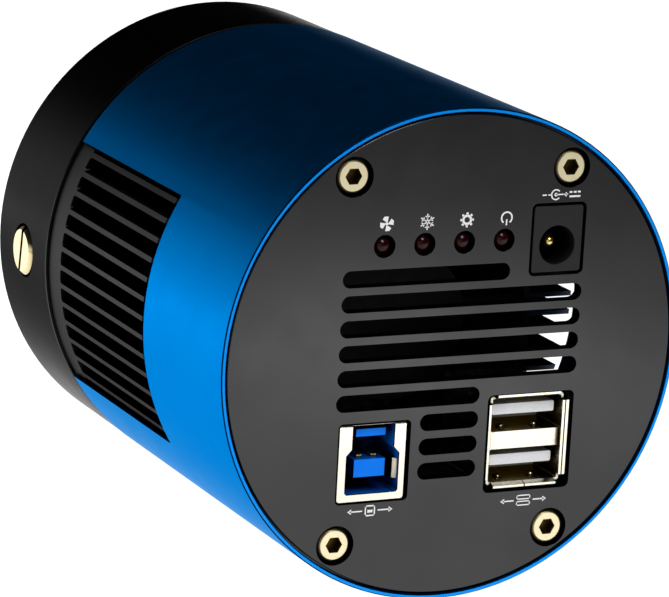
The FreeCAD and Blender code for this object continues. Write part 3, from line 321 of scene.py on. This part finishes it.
def make_materials():
    """One material for each of the record's slots."""
    made = {
        "lamp_red": lamp_epoxy(),
        "silicon": silicon(),
        "clear_glass": clear_glass(),
        "ribbon": ribbon_film(),
    }

    def add(finish, slot, *values, **sockets):
        made[slot] = finish(slot, *values, **sockets)

    dull = (0.34, 0.34, 0.34, 1.0)
    warm_edge = (0.75, 0.6, 0.3, 1.0)

    add(anodised, "blue_anodised", (0.0, 0.215, 0.62), (0.0, 0.205, 0.6), 0.36,
        Specular_Tint=(0.2, 0.65, 0.95, 1.0))
    # Painted shade over the rear rim's chamfer, then a painted highlight on the rim's flat face.
    paint_rim_shade_and_highlight(made["blue_anodised"], REAR_RIM, (((0.0, 0.015, 0.06), 0.24), ((0.0, 0.3, 1.0), 0.04)))
    add(anodised, "black_anodised", (0.057, 0.057, 0.058), (0.063, 0.063, 0.064), 0.23, Specular_Tint=dull)
    # The sink's four values paint shade into the gaps between its fins.
    add(anodised, "sink_anodised", (0.084, 0.084, 0.086), (0.092, 0.092, 0.094), 0.4,
        (6.0, (0.02, 0.02, 0.02), 0.5, 0.85), Specular_Tint=dull)

    # The four values on each of these finishes paint shade into their sockets and slots.
    add(turned_metal, "pale_gold_steel", (1.0, 0.9, 0.6), (0.98, 0.87, 0.55), 0.34, 0.8,
        (2.6, (0.06, 0.04, 0.01), 0.5, 0.88), Specular_Tint=warm_edge)
    add(turned_metal, "brass", (0.92, 0.78, 0.48), (0.85, 0.7, 0.38), 0.14, 1.0,
        (1.6, (0.1, 0.06, 0.02), 0.55, 0.95))
    add(turned_metal, "steel", (0.62, 0.62, 0.64), (0.5, 0.5, 0.53), 0.25, 1.0,
        (2.6, (0.08, 0.08, 0.08), 0.5, 0.88))
    add(turned_metal, "plain_aluminium", (0.8, 0.81, 0.83), (0.7, 0.71, 0.73), 0.3)
    add(turned_metal, "magnet", (0.1, 0.1, 0.11), (0.07, 0.07, 0.08), 0.45)
    add(turned_metal, "lamination", (0.3, 0.3, 0.32), (0.22, 0.22, 0.24), 0.4)
    add(turned_metal, "copper", (0.75, 0.32, 0.14), (0.6, 0.22, 0.09), 0.28)
    add(sheet_metal, "contact_gold", (0.95, 0.72, 0.3), (0.85, 0.6, 0.2), 0.18)
    # The nickel's four values paint a brown shade into its hollows.
    add(sheet_metal, "nickel", (0.98, 0.93, 0.8), (0.96, 0.9, 0.75), 0.2,
        (4.0, (0.045, 0.028, 0.004), 0.55, 0.84), Specular_Tint=warm_edge)

    # The four values on these plastics paint shade into their bores and hollows.
    add(moulded, "black_plastic", (0.014, 0.014, 0.015), (0.017, 0.017, 0.018), 0.35, 0.2, 0.006,
        (6.0, (0.05, 0.05, 0.05), 0.35, 0.8), Specular_IOR_Level=0.22)
    add(moulded, "fan_plastic", (0.004, 0.004, 0.005), (0.006, 0.006, 0.007), 0.45, Specular_IOR_Level=0.12)
    add(moulded, "blue_plastic", (0.0, 0.22, 1.0), (0.0, 0.19, 0.93), 0.35, 0.3, 0.004,
        (5.0, (0.01, 0.01, 0.05), 0.45, 0.85), Specular_IOR_Level=0.1)
    add(moulded, "white_plastic", (0.82, 0.83, 0.85), (0.76, 0.77, 0.79), 0.3, 0.3, 0.006)
    add(moulded, "nylon", (0.75, 0.73, 0.67), (0.68, 0.66, 0.6), 0.45)
    add(moulded, "chip_black", (0.012, 0.012, 0.013), (0.02, 0.02, 0.021), 0.5, 0.15, 0.01)
    add(moulded, "lead_black", (0.01, 0.01, 0.01), (0.02, 0.02, 0.02), 0.45)
    add(moulded, "lead_red", (0.45, 0.01, 0.01), (0.35, 0.008, 0.008), 0.4)
    add(moulded, "black_rubber", (0.008, 0.008, 0.008), (0.014, 0.014, 0.014), 0.7, 0.4, 0.02)
    add(moulded, "foam", (0.03, 0.03, 0.032), (0.05, 0.05, 0.05), 0.9, 0.5, 0.1)
    add(moulded, "white_ceramic", (0.8, 0.8, 0.77), (0.72, 0.72, 0.69), 0.5, 0.1, 0.004)
    add(moulded, "dark_ceramic", (0.05, 0.045, 0.055), (0.035, 0.03, 0.04), 0.5, 0.1, 0.004)
    add(moulded, "white_tablet", (0.82, 0.8, 0.74), (0.7, 0.68, 0.62), 0.85, 0.3, 0.05)
    add(board_finish, "circuit_board", (0.004, 0.07, 0.03), (0.02, 0.16, 0.07))
    return made


# ---- printed symbols on the rear cover -----------------------------------------------------------
# Each symbol is a list of flat outlines, and each outline a list of (x, z) corners in millimetres.
DISC_STEPS = 20
ARC_STEPS = 28


def disc(x, z, radius):
    """A filled circle."""
    turn = math.tau / DISC_STEPS
    return [[(x + radius * math.cos(turn * i), z + radius * math.sin(turn * i)) for i in range(DISC_STEPS)]]


def stroke(x0, z0, x1, z1, width):
    """A straight bar between two points."""
    length = math.hypot(x1 - x0, z1 - z0)
    side_x = (z0 - z1) / length * width / 2
    side_z = (x1 - x0) / length * width / 2
    return [[(x0 + side_x, z0 + side_z), (x0 - side_x, z0 - side_z),
             (x1 - side_x, z1 - side_z), (x1 + side_x, z1 + side_z)]]


def arc_band(x, z, radius, width, start=0.0, end=360.0):
    """A curved bar about a point, angles in degrees."""
    quads = []
    inner, outer = radius - width / 2, radius + width / 2
    for i in range(ARC_STEPS):
        a, b = (math.radians(start + (end - start) * j / ARC_STEPS) for j in (i, i + 1))
        quads.append([(x + inner * math.cos(a), z + inner * math.sin(a)),
                      (x + outer * math.cos(a), z + outer * math.sin(a)),
                      (x + outer * math.cos(b), z + outer * math.sin(b)),
                      (x + inner * math.cos(b), z + inner * math.sin(b))])
    return quads


def frame_outline(x, z, width, height, line):
    """A rectangle drawn with a line."""
    left, right, low, high = x - width / 2, x + width / 2, z - height / 2, z + height / 2
    half = line / 2
    return (stroke(left, low + half, right, low + half, line)
            + stroke(left, high - half, right, high - half, line)
            + stroke(left + half, low, left + half, high, line)
            + stroke(right - half, low, right - half, high, line))


def fan_symbol(x, z, size):
    """Four swept blades round a hub."""
    shapes = disc(x, z, 0.2 * size)
    for quarter in range(4):
        sweep = [(0.22, -20), (0.95, -12), (1.0, 22), (0.85, 48), (0.5, 40), (0.24, 24)]
        blade = []
        for radius, angle in sweep:
            a = math.radians(angle + 90 * quarter)
            blade.append((x + radius * size * math.cos(a), z + radius * size * math.sin(a)))
        shapes.append(blade)
    return shapes


def snow_symbol(x, z, size):
    """Six arms, each with two short twigs."""
    shapes = []
    for arm in range(6):
        a = math.radians(60 * arm + 30)
        shapes += stroke(x, z, x + size * math.cos(a), z + size * math.sin(a), 0.15 * size)
        fork_x, fork_z = x + 0.5 * size * math.cos(a), z + 0.5 * size * math.sin(a)
        for side in (-1, 1):
            b = a + side * math.radians(50)
            tip_x, tip_z = fork_x + 0.36 * size * math.cos(b), fork_z + 0.36 * size * math.sin(b)
            shapes += stroke(fork_x, fork_z, tip_x, tip_z, 0.13 * size)
    return shapes


def gear_symbol(x, z, size):
    """A ring with eight teeth."""
    shapes = arc_band(x, z, 0.56 * size, 0.32 * size)
    for tooth in range(8):
        a = math.radians(45 * tooth)
        shapes += stroke(x + 0.66 * size * math.cos(a), z + 0.66 * size * math.sin(a),
                         x + size * math.cos(a), z + size * math.sin(a), 0.3 * size)
    return shapes


def power_symbol(x, z, size):
    """An open ring with a bar in its gap, which faces down."""
    return (arc_band(x, z, 0.8 * size, 0.22 * size, -55, 235)
            + stroke(x, z - 0.2 * size, x, z - 1.05 * size, 0.22 * size))


def direct_current_symbol(x, z, size):
    """Solid line over three dashes, and the plug's centre contact marked with its polarity."""
    shapes = stroke(x + 1.5 * size, z - 0.35 * size, x + 3.3 * size, z - 0.35 * size, 0.26 * size)
    for dash in range(3):
        left = x + (1.5 + 0.68 * dash) * size
        shapes += stroke(left, z + 0.3 * size, left + 0.44 * size, z + 0.3 * size, 0.26 * size)
    middle = x - 0.7 * size
    shapes += disc(middle, z, 0.26 * size)
    shapes += arc_band(middle, z, 0.72 * size, 0.2 * size, 40, 320)
    shapes += stroke(middle, z, middle + 1.25 * size, z, 0.18 * size)
    shapes += stroke(middle - 0.75 * size, z, middle - 1.25 * size, z, 0.18 * size)
    shapes += stroke(middle - 1.5 * size, z, middle - 2.2 * size, z, 0.2 * size)
    shapes += stroke(middle + 1.35 * size, z, middle + 1.95 * size, z, 0.2 * size)
    shapes += stroke(middle + 1.65 * size, z - 0.3 * size, middle + 1.65 * size, z + 0.3 * size, 0.2 * size)
    return shapes


def arrow_pair(x, z, near, far, size):
    """Two arrows that point away from the middle."""
    shapes = []
    for side in (-1, 1):
        head = x + side * (far - 0.75 * size)
        shapes += stroke(x + side * near, z, x + side * (far - 0.4 * size), z, 0.24 * size)
        shapes.append([(head, z + 0.5 * size), (head, z - 0.5 * size), (x + side * far, z)])
    return shapes


def square_port_symbol(x, z, size):
    """The square port's outline with its tongue, between two arrows."""
    return (frame_outline(x, z, 2.0 * size, 2.0 * size, 0.24 * size)
            + stroke(x - 0.5 * size, z - 0.1 * size, x + 0.5 * size, z - 0.1 * size, 0.5 * size)
            + arrow_pair(x, z, 1.5 * size, 4.4 * size, size))


def flat_port_symbol(x, z, size):
    """Two flat port outlines, one above the other, between two arrows."""
    shapes = arrow_pair(x, z, 1.9 * size, 4.6 * size, size)
    for rise in (-0.56, 0.56):
        shapes += frame_outline(x, z + rise * size, 2.8 * size, 0.88 * size, 0.2 * size)
    return shapes


PRINT_HEIGHT_MM = 0.012
# The symbol, the node it stands by, its shift from that node's middle, its gap over the node's top
# (or, negative, under its bottom) and its size, in millimetres.
SYMBOLS = (
    (fan_symbol, "indicator_lamps", -10.3, 1.75, 1.25),
    (snow_symbol, "indicator_lamps", -3.3, 1.75, 1.3),
    (gear_symbol, "indicator_lamps", 3.65, 1.75, 1.2),
    (power_symbol, "indicator_lamps", 10.65, 1.75, 1.15),
    (direct_current_symbol, "power_jack_housing", -0.08, 1.8, 1.1),
    (square_port_symbol, "square_port_shell", 0.1, -1.6, 0.9),
    (flat_port_symbol, "stacked_port_shell", -0.03, -2.35, 0.9),
)


def print_symbols():
    """White printed symbols beside the lamps, the jack and the ports, as one thin piece."""
    shapes = []
    for symbol, neighbour, shift, gap, size in SYMBOLS:
        low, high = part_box(neighbour)
        edge = high.z if gap > 0 else low.z
        shapes += symbol((low.x + high.x) / 2 / MM + shift, edge / MM + gap, size)
    mesh = bmesh.new()
    level = COVER_FACE - PRINT_HEIGHT_MM * MM
    for outline in shapes:
        corners = [mesh.verts.new((x * MM, level, z * MM)) for x, z in outline]
        face = mesh.faces.new(corners)
        face.normal_update()
        if face.normal.y > 0:
            face.normal_flip()
    data = bpy.data.meshes.new("cover_print")
    mesh.to_mesh(data)
    mesh.free()
    piece = bpy.data.objects.new("cover_print", data)
    bpy.context.scene.collection.objects.link(piece)
    ink = new_material("print_white", (0.95, 0.95, 0.95), 0.0, 0.5)
    vary_color(ink, noise(ink, 0.3, 3.0), (0.97, 0.97, 0.97), (0.9, 0.9, 0.9))
    vary_roughness(ink, noise(ink, 0.4, 2.0), 0.4, 0.6)
    bump(ink, noise(ink, 0.1, 2.0), 0.002, 0.4)
    data.materials.append(ink)
    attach(piece, BODY)


# ---- dressing the CAD nodes ----------------------------------------------------------------------
SOFT_EDGES_MM = {
    "rear_cover": 0.12, "square_port_shell": 0.1, "power_jack_housing": 0.12,
    "fan_frame": 0.15, "square_port_insulator": 0.08, "desiccant_plug": 0.06,
}
SHARP = math.radians(32)
FLAT = math.radians(0.2)
WELD_MM = 0.002


def soften(node, width_mm):
    """Weld the mesh, merge flat triangles, round the sharp edges a little and smooth the shading."""
    weld = node.modifiers.new("weld", "WELD")
    weld.merge_threshold = WELD_MM * MM
    flat = node.modifiers.new("flat", "DECIMATE")
    flat.decimate_type = "DISSOLVE"
    flat.angle_limit = FLAT
    edge = node.modifiers.new("edge", "BEVEL")
    edge.width = width_mm * MM
    edge.segments = 2
    edge.limit_method = "ANGLE"
    edge.angle_limit = SHARP
    edge.miter_outer = "MITER_ARC"
    edge.use_clamp_overlap = True
    for face in node.data.polygons:
        face.use_smooth = True
    normals = node.modifiers.new("normals", "WEIGHTED_NORMAL")
    normals.keep_sharp = True


def dress_nodes(materials):
    """Give every CAD node its slot's material."""
    for row in frame["record"]["subparts"]:
        node = frame["nodes"][row["node"]]
        node.data.materials.clear()
        node.data.materials.append(materials[row["material_slot"]])


# ---- front thread --------------------------------------------------------------------------------
THREAD_PITCH_MM = 0.75
THREAD_DEPTH_MM = 0.4
THREAD_HALF_WIDTH = 0.44      # of the pitch, so that a narrow flat crest is left
THREAD_LEAD_IN_MM = 0.1       # how far inside the bore the cutter starts
THREAD_STEPS = 72


def thread_cutter(bore, front, back):
    """A closed V-shaped coil that starts inside the bore and bites into its wall."""
    mesh = bmesh.new()
    pitch = THREAD_PITCH_MM * MM
    half = pitch * THREAD_HALF_WIDTH
    inner, outer = bore - THREAD_LEAD_IN_MM * MM, bore + THREAD_DEPTH_MM * MM
    turns = math.ceil((front - back) / pitch) + 2
    rings = []
    for step in range(turns * THREAD_STEPS + 1):
        angle = math.tau * step / THREAD_STEPS
        middle = back - pitch + pitch * step / THREAD_STEPS
        ring = []
        for radius, shift in ((inner, -half), (inner, half), (outer, 0)):
            ring.append(mesh.verts.new((radius * math.cos(angle), middle + shift, radius * math.sin(angle))))
        rings.append(ring)
    for one, two in zip(rings, rings[1:]):
        for i in range(3):
            j = (i + 1) % 3
            mesh.faces.new((one[i], one[j], two[j], two[i]))
    mesh.faces.new(rings[0][::-1])
    mesh.faces.new(rings[-1])
    bmesh.ops.recalc_face_normals(mesh, faces=mesh.faces)
    data = bpy.data.meshes.new("thread_cutter")
    mesh.to_mesh(data)
    mesh.free()
    return bpy.data.objects.new("thread_cutter", data)


def make_threaded_flange(material):
    """The front ring again, with its real screw thread cut into the bore."""
    ring = frame["nodes"]["front_flange"]
    low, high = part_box("front_flange")
    bore = min(math.hypot(v.co.x, v.co.z) for v in ring.data.vertices)
    cutter = thread_cutter(bore, high.y, low.y)
    copy = bpy.data.objects.new("front_flange_threaded", ring.data.copy())
    for piece in (cutter, copy):
        bpy.context.scene.collection.objects.link(piece)
    weld = copy.modifiers.new("weld", "WELD")
    weld.merge_threshold = WELD_MM * MM
    cut = copy.modifiers.new("cut", "BOOLEAN")
    cut.operation = "DIFFERENCE"
    cut.solver = "EXACT"
    cut.object = cutter
    result = bpy.data.meshes.new_from_object(copy.evaluated_get(bpy.context.evaluated_depsgraph_get()))
    copy.modifiers.clear()
    copy.data = result
    bpy.data.objects.remove(cutter)
    result.materials.clear()
    result.materials.append(material)
    for face in result.polygons:
        face.use_smooth = False
    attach(copy, BODY)
    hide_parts("front_flange")


# ---- camera, floor and light ---------------------------------------------------------------------
VIEW_AZIMUTH = math.radians(-25.66)
VIEW_ELEVATION = math.radians(13.62)
VIEW_ROLL = math.radians(3.07)
CAMERA_PLACE = Vector((-0.2750, -0.6267, 0.1525))
LENS_MM = 209.5
SENSOR_MM = 36.0


def make_camera():
    """Long lens from behind, to the left and slightly above."""
    back = Vector((math.sin(VIEW_AZIMUTH) * math.cos(VIEW_ELEVATION),
                   -math.cos(VIEW_AZIMUTH) * math.cos(VIEW_ELEVATION), math.sin(VIEW_ELEVATION)))
    right = (-back).cross(Vector((0, 0, 1))).normalized()
    up = back.cross(right)
    turned_right = right * math.cos(VIEW_ROLL) + up * math.sin(VIEW_ROLL)
    turned_up = up * math.cos(VIEW_ROLL) - right * math.sin(VIEW_ROLL)
    data = bpy.data.cameras.new("view")
    data.lens = LENS_MM
    data.sensor_width = SENSOR_MM
    data.clip_start = 0.05
    data.clip_end = 20.0
    camera = bpy.data.objects.new("view", data)
    turn = Matrix((turned_right, turned_up, back)).transposed()
    camera.matrix_world = Matrix.Translation(CAMERA_PLACE) @ turn.to_4x4()
    bpy.context.scene.collection.objects.link(camera)
    bpy.context.scene.camera = camera


def glow(material, centre, radii):
    """A soft round patch on the floor: 1 in the middle, 0 at the given radii."""
    place = add_node(material, "ShaderNodeTexCoord")
    mapping = add_node(material, "ShaderNodeMapping")
    mapping.inputs["Location"].default_value = (-centre[0] / radii[0], -centre[1] / radii[1], 0)
    mapping.inputs["Scale"].default_value = (1 / radii[0], 1 / radii[1], 1)
    link(material, place.outputs["Object"], mapping.inputs["Vector"])
    sphere = add_node(material, "ShaderNodeTexGradient", gradient_type="QUADRATIC_SPHERE")
    link(material, mapping.outputs["Vector"], sphere.inputs["Vector"])
    return sphere.outputs["Fac"]


def add_signals(material, first, second):
    node = add_node(material, "ShaderNodeMath", operation="ADD")
    link(material, first, node.inputs[0])
    link(material, second, node.inputs[1])
    return node.outputs["Value"]


FLOOR_SIZE = 8.0
# The floor's brightness behind and ahead of the object, and where along Y the one turns into the other.
FLOOR_BEHIND = 0.97
FLOOR_AHEAD = 0.05
RAMP_START = -0.42
RAMP_END = -0.13
# Brighter patches, which the rear cover and the side reflect: centre, radii and added brightness.
FRONT_PATCH = ((0.06, -0.25), (0.1, 0.11), 2.3)
LEFT_PATCH = ((-0.3, 0.3), (0.6, 0.6), 1.0)


def make_floor():
    """A plain pale light table: white behind the object, softer on the camera's side."""
    bpy.ops.mesh.primitive_plane_add(size=FLOOR_SIZE, location=(0, 0, FLOOR_LEVEL))
    floor = bpy.context.object
    floor.name = "floor"
    material = new_material("floor_paper", (0.3, 0.3, 0.3), 0.0, 0.9, Specular_IOR_Level=0.1)
    vary_color(material, noise(material, 60.0, 2.0), (0.3, 0.3, 0.3), (0.28, 0.28, 0.28))
    place = add_node(material, "ShaderNodeTexCoord")
    split = add_node(material, "ShaderNodeSeparateXYZ")
    link(material, place.outputs["Object"], split.inputs["Vector"])
    ramp = add_node(material, "ShaderNodeMapRange", interpolation_type="SMOOTHSTEP")
    ramp.inputs["From Min"].default_value = RAMP_START
    ramp.inputs["From Max"].default_value = RAMP_END
    ramp.inputs["To Min"].default_value = FLOOR_AHEAD
    ramp.inputs["To Max"].default_value = FLOOR_BEHIND
    link(material, split.outputs["Y"], ramp.inputs["Value"])
    light = ramp.outputs["Result"]
    for centre, radii, strength in (FRONT_PATCH, LEFT_PATCH):
        patch = remap(material, glow(material, centre, radii), 0.0, strength, 0.0, 1.0)
        light = add_signals(material, light, patch)
    shader = shader_of(material)
    shader.inputs["Emission Color"].default_value = (1, 1, 1, 1)
    link(material, light, shader.inputs["Emission Strength"])
    floor.data.materials.append(material)


FILL_PLACE = Vector((0.1, -1.2, 1.3))
FILL_WIDTH = 0.6
FILL_POWER = 16.0


def make_fill_light():
    """A soft square light, high up behind the camera, that points at the object."""
    data = bpy.data.lights.new("fill", "AREA")
    data.size = FILL_WIDTH
    data.energy = FILL_POWER
    light = bpy.data.objects.new("fill", data)
    light.location = FILL_PLACE
    light.rotation_euler = (-FILL_PLACE).to_track_quat("-Z", "Y").to_euler()
    bpy.context.scene.collection.objects.link(light)


# The wall's brightness, the height at which it has faded out, where it fades from left to right (height
# and sides are parts of a direction of length 1), and the brightness of the rest of the room.
WALL_LIGHT = 0.95
WALL_TOP = 0.42
WALL_LEFT = -0.45
WALL_RIGHT = 0.12
ROOM_LIGHT = 0.012


def make_sky():
    """A dark room with a softly lit wall on the left that fades out upward and to the right."""
    world = bpy.data.worlds.new("studio")
    world.use_nodes = True
    tree = world.node_tree
    place = tree.nodes.new("ShaderNodeTexCoord")
    split = tree.nodes.new("ShaderNodeSeparateXYZ")
    tree.links.new(place.outputs["Generated"], split.inputs["Vector"])
    fades = []
    for axis, start, end, brightness in (("Z", 0.0, WALL_TOP, WALL_LIGHT), ("X", WALL_LEFT, WALL_RIGHT, 1.0)):
        fade = tree.nodes.new("ShaderNodeMapRange")
        fade.interpolation_type = "SMOOTHSTEP"
        fade.inputs["From Min"].default_value = start
        fade.inputs["From Max"].default_value = end
        fade.inputs["To Min"].default_value = brightness
        fade.inputs["To Max"].default_value = 0.0
        tree.links.new(split.outputs[axis], fade.inputs["Value"])
        fades.append(fade.outputs["Result"])
    wall = tree.nodes.new("ShaderNodeMath")
    wall.operation = "MULTIPLY_ADD"
    wall.inputs[2].default_value = ROOM_LIGHT
    for fade, socket in zip(fades, wall.inputs):
        tree.links.new(fade, socket)
    tree.links.new(wall.outputs["Value"], tree.nodes["Background"].inputs["Strength"])
    tree.nodes["Background"].inputs["Color"].default_value = (1, 1, 1, 1)
    bpy.context.scene.world = world


make_camera()
make_floor()
make_fill_light()
make_sky()
bpy.context.scene.view_settings.view_transform = "Standard"

materials = make_materials()
dress_nodes(materials)
print_symbols()
make_threaded_flange(materials["black_anodised"])
for name, width in SOFT_EDGES_MM.items():
    soften(frame["nodes"][name], width)
